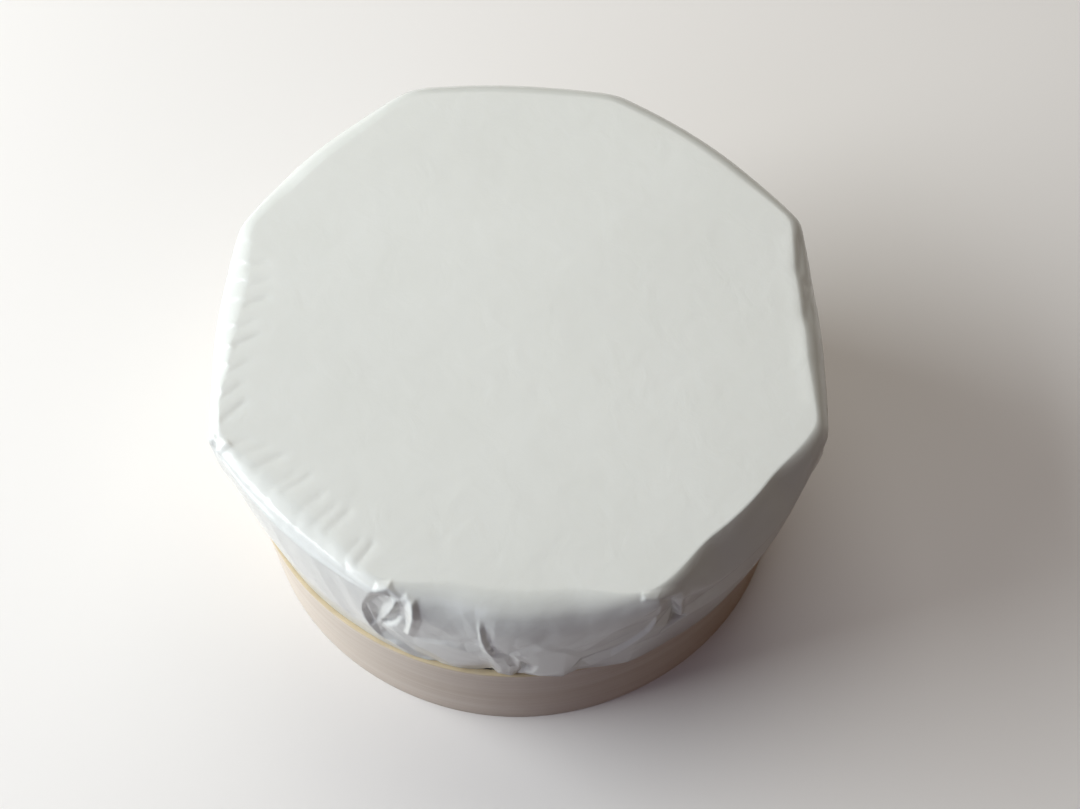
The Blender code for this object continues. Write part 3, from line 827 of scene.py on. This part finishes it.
# Small creases, strewn: seed, number, azimuths, runs and height.
STREWN = [
    (5, 60, (-112.0, -24.0), (4.0, 31.0), 0.12),
    (6, 160, (-20.0, 200.0), (2.0, 32.0), 0.25),
]


def plain_corner(corner, lean):
    """Creases of a pinched corner with a pleat below it."""
    path = [(corner, 5.0), (corner + 4.0 * lean, 16.0), (corner + 9.0 * lean, 32.0)]
    beside = [(at + 1.6 * lean, run + 1.0) for at, run in path]
    steep, gentle = (0.7, 4.5)
    widths = (gentle, steep) if lean > 0 else (steep, gentle)
    return [(0.9, widths, path), (-0.8, (1.2, 1.2), beside)]


def plain_side(start, end):
    """Creases between two corners: one that falls across the wall, and others above and below it."""
    span = end - start
    across = [(start + share * span, 8.0 + 9.0 * share) for share in (0.12, 0.4, 0.7, 0.9)]
    folds = [(-0.8, (2.4, 4.0), across)]
    for share, low in ((0.22, 9.0), (0.5, 13.0), (0.74, 17.0)):
        at = start + share * span
        folds.append((-0.55, (2.0, 3.2), [(at, 1.5), (at + 1.5, low - 1.0)]))
        folds.append((0.55, (3.0, 1.6), [(at + 3.0, low + 4.0), (at + 1.0, 31.0)]))
    return folds


def fine_creases(seed, count, azimuths, runs, height):
    """Small creases strewn over a part of the film."""
    chance = np.random.default_rng(seed)
    folds = []
    for step in range(count):
        at, run = chance.uniform(*azimuths), chance.uniform(*runs)
        turn, long = chance.uniform(0.0, math.pi), chance.uniform(2.0, 6.0)
        path = [(at, run), (at + long * math.cos(turn), run + long * math.sin(turn))]
        widths = tuple(chance.uniform(0.8, 3.0, 2))
        folds.append((height * chance.uniform(-1.0, 1.0), widths, path))
    return folds


print(len(plain_side(*PLAIN_SIDES[0])), "creases on a far side")

# %% [markdown]
# ## All folds together
#
# The folds' heights simply add up. Soft folds, facets and sharp creases each give a height at every
# point, and the sum moves the film out of its plain form.

# %% All folds together
def push(azimuth, run):
    """How far the folds move the film out at each point."""
    total = facet_height(azimuth, run, net)
    soft = EDGE_FOLDS + LEFT_CORNER_FOLDS + FRONT_DENTS + RIGHT_DENTS
    for row in FOLD_ROWS:
        soft = soft + fold_row(*row)
    for height, width, path in soft:
        total = total + soft_fold(azimuth, run, height, width, path)
    sharp = []
    for patch in STREWN:
        sharp = sharp + fine_creases(*patch)
    for corner, lean in PLAIN_CORNERS:
        sharp = sharp + plain_corner(corner, lean)
    for start, end in PLAIN_SIDES:
        sharp = sharp + plain_side(start, end)
    for height, widths, path in sharp:
        total = total + crease(azimuth, run, height, widths, path)
    return total


print("moved out at the knot:", round(float(push(np.array([-107.0]), np.array([2.0]))[0]), 2), "mm")

# %% [markdown]
# ## The film's rings
#
# The film is laid out as rings of points, from the middle of the top over the shoulder and down the
# wall. Columns stand close together at the front, where the folds are small. The first ring closes the
# top at its middle and the last ones turn under into the box, so the piece is one closed skin like the
# solid it stands for.

# %% The film's rings
# Each band of columns is its first azimuth and its number of columns, and the last one only ends it.
COLUMN_BANDS = [(-155.0, 60), (-121.0, 260), (-62.0, 90), (-22.0, 60), (23.0, 150), (155.0, 110), (205.0, 0)]
TOP_RINGS = [0.0, 0.12, 0.3, 0.5, 0.7, 0.88]
TOP_EDGE_RUNS = np.linspace(-17.0, -8.4, 17)
SHOULDER_ROWS = 20
WALL_ROWS = 78


def sag(x, y):
    """The slight waves in the flat top, and its fall of about a third of a millimetre at the edge."""
    waves = 0.10 * np.sin(x / 13.0 + 0.6) * np.cos(y / 17.0) + 0.07 * np.sin(y / 9.0 - x / 21.0)
    return waves - 0.35 * (np.hypot(x, y) / 58.0) ** 4


def film_columns():
    """Azimuths of the mesh columns, once round and back to the first."""
    found = []
    for (start, count), (end, after) in zip(COLUMN_BANDS, COLUMN_BANDS[1:]):
        found.extend(start + (end - start) * step / count for step in range(count))
    return np.array(found + [COLUMN_BANDS[-1][0]])


print(len(film_columns()), "columns, the top sags", round(-float(sag(58.0, 0.0)), 2), "mm at its edge")

# %% [markdown]
# Rings over the shoulder and the wall come from the plain form and the folds. Those of the top are the
# first of them drawn in, and those below the edge follow its radius but stay inside the box.

# %% The rings in space
# The film's edge turns in by the first step, then by the second down into the box.
EDGE_STEPS = (0.1, 0.5)
SAG_REACH = 4.0

# Inside the box: how far inside the tuck a ring lies, and its height.
UNDERSIDE = [(0.1, 20.0), (0.3, 12.0), (1.2, 5.0), (4.4, WHEEL_FOOT)]


def film_rows(azimuths):
    """The film's rings of points, from the middle of the top to the middle of the underside."""
    shoulder_runs = np.linspace(-SHOULDER_RUN, 0.0, SHOULDER_ROWS)
    wall_runs = np.linspace(0.0, WALL_RUN, WALL_ROWS)[1:]
    at, run = np.meshgrid(azimuths, np.concatenate([TOP_EDGE_RUNS, shoulder_runs, wall_runs]))
    across, height = plain_form(at, run)
    out, up = outward(at, run)
    distance = push(at, run)
    across, height = across + out * distance, height + up * distance
    x, y = across * np.cos(np.radians(at)), across * np.sin(np.radians(at))
    height = height + sag(x, y) * (1.0 - smooth((TOP_HEIGHT + 1.0 - height) / SAG_REACH))

    turns = np.radians(azimuths)
    rings = []
    for share in TOP_RINGS:
        wide = share * np.hypot(x[0], y[0])
        top_x, top_y = wide * np.cos(turns), wide * np.sin(turns)
        rings.append((top_x, top_y, TOP_HEIGHT + sag(top_x, top_y)))
    rings.extend(zip(x, y, height))
    edge = np.hypot(x[-1], y[-1])
    tuck = np.minimum(edge - EDGE_STEPS[1], TUCK_RADIUS)
    under = [(edge - EDGE_STEPS[0], FILM_EDGE_HEIGHT - FILM_EDGE), (tuck, FILM_EDGE_HEIGHT - FILM_EDGE)]
    under += [(tuck - inside, level) for inside, level in UNDERSIDE]
    under.append((np.zeros(len(azimuths)), WHEEL_FOOT))
    for wide, level in under:
        rings.append((wide * np.cos(turns), wide * np.sin(turns), np.full(len(azimuths), level)))
    return np.array([np.stack(ring, axis=-1) for ring in rings])


places = film_rows(film_columns()) * MM
rows, columns = places.shape[:2]
print(rows, "rings of", columns, "points")

# %% [markdown]
# ## The film's mesh
#
# In Blender a flat grid is added with a column for each azimuth and a row for each ring, and its points
# are then laid on the rings. A grid keeps its faces in order, so no face has to be built by hand. Its
# two side edges meet at the seam, and its end rows shrink to the middle of the top and the underside,
# so those doubles are merged before the normals are turned outwards.

# %% The film's mesh
MERGE = 0.01 * MM

bpy.ops.object.select_all(action="DESELECT")
bpy.ops.mesh.primitive_grid_add(x_subdivisions=columns - 1, y_subdivisions=rows - 1, size=1.0)
film = bpy.context.active_object
film.name = "film_over_wheel"
flat = np.empty(len(film.data.vertices) * 3)
film.data.vertices.foreach_get("co", flat)
flat = flat.reshape(-1, 3)
column = np.rint((flat[:, 0] + 0.5) * (columns - 1)).astype(int)
row = np.rint((flat[:, 1] + 0.5) * (rows - 1)).astype(int)
film.data.vertices.foreach_set("co", places[row, column].ravel())
film.data.update()
bpy.ops.object.mode_set(mode="EDIT")
bpy.ops.mesh.select_all(action="SELECT")
bpy.ops.mesh.remove_doubles(threshold=MERGE)
bpy.ops.mesh.normals_make_consistent(inside=False)
bpy.ops.object.mode_set(mode="OBJECT")
bpy.ops.object.shade_smooth()
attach(film, "root")
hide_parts("wrapped_wheel")
print(len(film.data.polygons), "faces in the film")

# %% [markdown]
# ## The film's material
#
# Cheese wrap is a thin cast film of polypropylene, backed with tissue: white, smooth, with a soft
# sheen. The plastic's IOR is 1.49. A coat with low roughness over a rougher base gives the crisp
# highlight along a crease together with the soft shine of a flat part. Light goes a little way into
# the tissue. Tone and gloss drift slowly over about 14 mm, as the tissue sticks here and not there.

# %% The film's material
FILM_TONES = ("#DDE0D9", "#E4E7E1")
FILM_GLOSS = {"From Min": 0.25, "From Max": 0.75, "To Min": 0.29, "To Max": 0.35}

material, tree, shader = new_material(
    "polypropylene_film_on_tissue",
    IOR=1.49,
    Coat_Weight=0.45,
    Coat_Roughness=0.1,
    Coat_IOR=1.45,
    Subsurface_Weight=0.12,
    Subsurface_Scale=1.2 * MM,
)
shader.inputs["Subsurface Radius"].default_value = (1.0, 0.95, 0.85)
place = add_node(tree, "ShaderNodeTexCoord").outputs["Object"]
mottle = add_node(tree, "ShaderNodeTexNoise", {"Vector": place, "Scale": 1.0 / (14.0 * MM), "Detail": 2.0})
tones = {"Factor": mottle.outputs["Fac"], 6: linear(FILM_TONES[0]), 7: linear(FILM_TONES[1])}
tone = add_node(tree, "ShaderNodeMix", tones, data_type="RGBA")
tree.links.new(tone.outputs[2], shader.inputs["Base Color"])
gloss = add_node(tree, "ShaderNodeMapRange", {"Value": mottle.outputs["Fac"], **FILM_GLOSS})
tree.links.new(gloss.outputs["Result"], shader.inputs["Roughness"])
film.data.materials.clear()
film.data.materials.append(material)
print("film material:", material.name)

# %% [markdown]
# The film's surface carries wrinkles too small for the mesh, so they are bump. Slow ones are about 6 mm
# long and at most 0.2 mm deep. Fine ones, about a millimetre long, break up the highlights.

# %% The film's fine wrinkles
SLOW_WRINKLE = 6.0 * MM
FINE_WRINKLE = 1.2 * MM

slow_noise = {"Vector": place, "Scale": 1.0 / SLOW_WRINKLE, "Detail": 3.0, "Distortion": 0.6}
slow = add_node(tree, "ShaderNodeTexNoise", slow_noise).outputs["Fac"]
slow_bump = add_node(tree, "ShaderNodeBump", {"Height": slow, "Strength": 0.5, "Distance": 0.2 * MM})
fine_noise = {"Vector": place, "Scale": 1.0 / FINE_WRINKLE, "Detail": 2.0}
fine = add_node(tree, "ShaderNodeTexNoise", fine_noise).outputs["Fac"]
fine_bump = add_node(tree, "ShaderNodeBump", {"Height": fine, "Strength": 0.25, "Distance": 0.03 * MM})
tree.links.new(slow_bump.outputs["Normal"], fine_bump.inputs["Normal"])
tree.links.new(fine_bump.outputs["Normal"], shader.inputs["Normal"])
print("wrinkles in", material.name, "with", len(tree.nodes), "nodes")

# %% [markdown]
# ## The veneer band
#
# The band is a strip of poplar veneer, peeled about a millimetre thick and bent into a ring. Its
# section is a thin upright rectangle with eased edges. A plane is stood at the ring's radius and loses
# its face, its corners are bevelled, and its long sides are cut into steps.

# %% The band's section
EDGE_ROUND = 0.25
SIDE_CUTS = 11

bpy.ops.object.select_all(action="DESELECT")
middle = ((BOX_RADIUS - VENEER / 2.0) * MM, 0.0, BOX_HEIGHT / 2.0 * MM)
bpy.ops.mesh.primitive_plane_add(size=1.0, location=middle, rotation=(math.pi / 2.0, 0.0, 0.0))
band = bpy.context.active_object
band.name = "veneer_band"
band.scale = (VENEER * MM, BOX_HEIGHT * MM, 1.0)
bpy.ops.object.transform_apply(location=True, rotation=True, scale=True)
bpy.ops.object.mode_set(mode="EDIT")
bpy.ops.mesh.select_all(action="SELECT")
bpy.ops.mesh.delete(type="ONLY_FACE")
bpy.ops.mesh.select_all(action="SELECT")
bpy.ops.mesh.bevel(offset=EDGE_ROUND * MM, segments=2, affect="VERTICES")
bpy.ops.mesh.select_all(action="DESELECT")
bpy.ops.object.mode_set(mode="OBJECT")
for edge in band.data.edges:
    low, high = (band.data.vertices[index].co.z for index in edge.vertices)
    edge.select = abs(low - high) > BOX_HEIGHT / 2.0 * MM
bpy.ops.object.mode_set(mode="EDIT")
bpy.ops.mesh.subdivide(number_cuts=SIDE_CUTS)
band.update_from_editmode()
print(len(band.data.vertices), "points in the section")

# %% [markdown]
# Still in edit mode, the section is spun once round the axis. The strip is lapped over itself at the
# back, so the ring gets a pair of close cuts at each end of the lap, for a clean step there.

# %% The ring and the lap
SPIN_STEPS = 240
LAP_START = 74.0
LAP_END = 98.0
LAP_SLOPE = 0.15

bpy.ops.mesh.select_all(action="SELECT")
bpy.ops.mesh.spin(steps=SPIN_STEPS, angle=2.0 * math.pi, center=(0.0, 0.0, 0.0), axis=(0.0, 0.0, 1.0))
bpy.ops.mesh.select_all(action="SELECT")
bpy.ops.mesh.remove_doubles(threshold=MERGE)
for end in (LAP_START, LAP_END):
    for turn in (math.radians(end - LAP_SLOPE), math.radians(end + LAP_SLOPE)):
        bpy.ops.mesh.select_all(action="SELECT")
        across = (-math.sin(turn), math.cos(turn), 0.0)
        bpy.ops.mesh.bisect(plane_co=(0.0, 0.0, 0.0), plane_no=across)
bpy.ops.mesh.select_all(action="SELECT")
bpy.ops.mesh.normals_make_consistent(inside=False)
bpy.ops.object.mode_set(mode="OBJECT")
print(len(band.data.vertices), "points in the band")

# %% [markdown]
# A real band isn't a perfect ring. It bulges a little here and there, and its cut rim is slightly
# ragged, because veneer tears between its fibres. The outer half is also pushed out over the lap.

# %% The band's unevenness
LAP_STEP = 0.7
RAGGED_BELOW = 0.6

# Each wave is its number round the band, its height in mm and its phase.
BULGES = [(3.0, 0.10, 1.0), (7.0, 0.06, 0.0)]
RAGGED = [(23.0, 0.06, 0.0), (61.0, 0.05, 2.0)]


def waves(turn, parts):
    """The sum of some waves round the band."""
    return sum(high * math.sin(number * turn + phase) for number, high, phase in parts)


for vert in band.data.vertices:
    turn = math.atan2(vert.co.y, vert.co.x)
    radius = math.hypot(vert.co.x, vert.co.y) / MM
    at = math.degrees(turn)
    push_out = waves(turn, BULGES)
    if LAP_START < at < LAP_END and radius > BOX_RADIUS - VENEER / 2.0:
        push_out += LAP_STEP
    vert.co.x *= 1.0 + push_out / radius
    vert.co.y *= 1.0 + push_out / radius
    if vert.co.z > (BOX_HEIGHT - RAGGED_BELOW) * MM:
        vert.co.z += waves(turn, RAGGED) * MM

print("the rim now reaches", round(max(v.co.z for v in band.data.vertices) / MM, 2), "mm")

# %% [markdown]
# Wood grain has to follow the bent strip. So the band gets a UV map of its own, which holds the
# distance along the strip from the lap and the height, both in metres.

# %% The band's own map
strip = band.data.uv_layers.new(name="strip")
for face in band.data.polygons:
    turns = []
    for loop in face.loop_indices:
        co = band.data.vertices[band.data.loops[loop].vertex_index].co
        turns.append((math.degrees(math.atan2(co.y, co.x)) - LAP_END) % 360.0)
    if max(turns) - min(turns) > 180.0:
        turns = [turn + 360.0 if turn < 180.0 else turn for turn in turns]
    for loop, turn in zip(face.loop_indices, turns):
        co = band.data.vertices[band.data.loops[loop].vertex_index].co
        strip.data[loop].uv = (math.radians(turn) * BOX_RADIUS * MM, co.z)
bpy.ops.object.select_all(action="DESELECT")
band.select_set(True)
bpy.context.view_layer.objects.active = band
bpy.ops.object.shade_smooth_by_angle(angle=math.radians(40.0))
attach(band, "root")
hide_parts("box_band")
print("strip length", round(2.0 * math.pi * BOX_RADIUS), "mm")

# %% [markdown]
# ## The veneer's material
#
# Peeled poplar is pale straw with a faint pink cast. Its fibres run along the strip as fine streaks
# about 0.4 mm wide and centimetres long, over broader slow bands of tone. Both are noise that is drawn
# out along the first coordinate.

# %% The veneer's fibres
# Streaks per metre, along the fibres and across them.
FINE_GRAIN = (28.0, 2400.0, 2400.0)
BROAD_GRAIN = (14.0, 260.0, 260.0)


def fibres(tree, place):
    """The fine streaks, and their mix with the broad bands."""
    found = []
    for scale, detail in ((FINE_GRAIN, 4.0), (BROAD_GRAIN, 2.0)):
        drawn = add_node(tree, "ShaderNodeMapping", {"Vector": place, "Scale": scale}).outputs["Vector"]
        noise = add_node(tree, "ShaderNodeTexNoise", {"Vector": drawn, "Scale": 1.0, "Detail": detail})
        found.append(noise.outputs["Fac"])
    both = add_node(tree, "ShaderNodeMix", {"Factor": 0.45, 2: found[0], 3: found[1]}, data_type="FLOAT")
    return found[0], both.outputs[0]


print("streaks are", round(1000.0 / FINE_GRAIN[1], 1), "by", round(1000.0 / FINE_GRAIN[0]), "mm")

# %% [markdown]
# The cut rim is warmer and darker, because it shows the ends of the sheet where it has yellowed. A
# fibre's streak is also a little smoother or rougher than the next, and stands out by a hair.

# %% The veneer's material
WOOD_TONES = ("#E0D2BE", "#F2E8D8")
RIM_TONE = "#D8C7A2"

# How far below the rim its tone starts and is full.
RIM_FADE = (0.5, 0.05)


def veneer_material(name, from_uv):
    """Poplar veneer whose fibres run along its first coordinate."""
    material, tree, shader = new_material(name, IOR=1.5)
    spot = add_node(tree, "ShaderNodeTexCoord").outputs["Object"]
    place = add_node(tree, "ShaderNodeUVMap", uv_map="strip").outputs["UV"] if from_uv else spot
    streak, both = fibres(tree, place)
    spread = add_node(tree, "ShaderNodeMapRange", {"Value": both, "From Min": 0.34, "From Max": 0.66})
    tones = {"Factor": spread.outputs["Result"], 6: linear(WOOD_TONES[0]), 7: linear(WOOD_TONES[1])}
    wood = add_node(tree, "ShaderNodeMix", tones, data_type="RGBA")
    height = add_node(tree, "ShaderNodeSeparateXYZ", {"Vector": spot}).outputs["Z"]
    low, high = ((BOX_HEIGHT - below) * MM for below in RIM_FADE)
    rim = add_node(tree, "ShaderNodeMapRange", {"Value": height, "From Min": low, "From Max": high})
    tones = {"Factor": rim.outputs["Result"], 6: wood.outputs[2], 7: linear(RIM_TONE)}
    colour = add_node(tree, "ShaderNodeMix", tones, data_type="RGBA")
    tree.links.new(colour.outputs[2], shader.inputs["Base Color"])
    rough = add_node(tree, "ShaderNodeMapRange", {"Value": streak, "To Min": 0.72, "To Max": 0.56})
    tree.links.new(rough.outputs["Result"], shader.inputs["Roughness"])
    bump = add_node(tree, "ShaderNodeBump", {"Height": streak, "Strength": 0.6, "Distance": 0.12 * MM})
    tree.links.new(bump.outputs["Normal"], shader.inputs["Normal"])
    return material


band.data.materials.clear()
band.data.materials.append(veneer_material("peeled_poplar_band", True))
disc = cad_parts["box_floor"]
disc.data.materials.clear()
disc.data.materials.append(veneer_material("peeled_poplar_disc", False))
print("veneer on", band.name, "and", disc.name)
